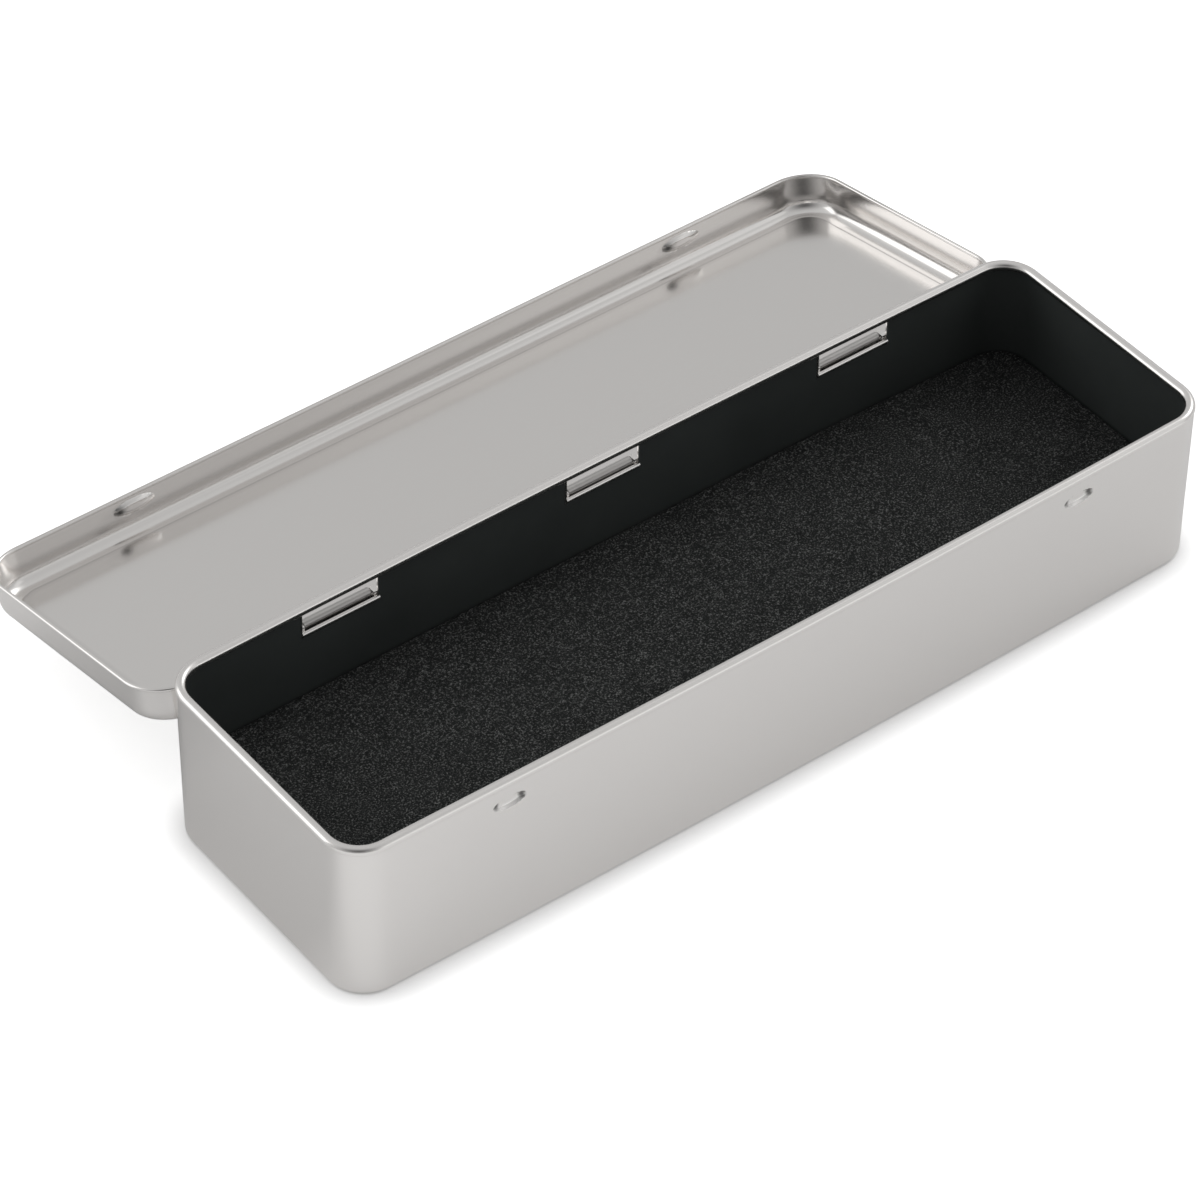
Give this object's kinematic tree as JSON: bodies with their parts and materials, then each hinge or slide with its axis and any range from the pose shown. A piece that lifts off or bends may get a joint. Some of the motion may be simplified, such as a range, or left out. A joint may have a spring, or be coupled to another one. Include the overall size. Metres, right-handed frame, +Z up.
{
  "type": "hinged tin box",
  "caption": "Long hinged tinplate box for pencils, lying open: rolled rim, rounded corners, black-lined walls, foam pad, and a shallow lid on rear pin hinges.",
  "frame": {"origin": "centre of the flat underside of the box", "axes": "+X along the box's length to the right as seen from its front, +Y towards the hinges and the open lid, +Z up"},
  "size_m": [0.2048, 0.1232, 0.0372],
  "materials": {
    "tinplate": "bare satin tinplate",
    "lining": "smooth black, low sheen",
    "foam": "black open-cell foam",
    "wire": "drawn steel wire"
  },
  "bodies": {
    "box": {"base_pan": "tinplate", "wall_liner": "lining", "foam_pad": "foam", "hinge_pin_left": "wire", "hinge_pin_middle": "wire", "hinge_pin_right": "wire"},
    "lid": {"lid": "tinplate"}
  },
  "joints": [
    {"name": "lid_hinge", "type": "hinge", "parent": "box", "child": "lid", "pos_m": [0, 0.03126, 0.0298], "axis": [1, 0, 0], "range_deg": [0, 191]}
  ]
}
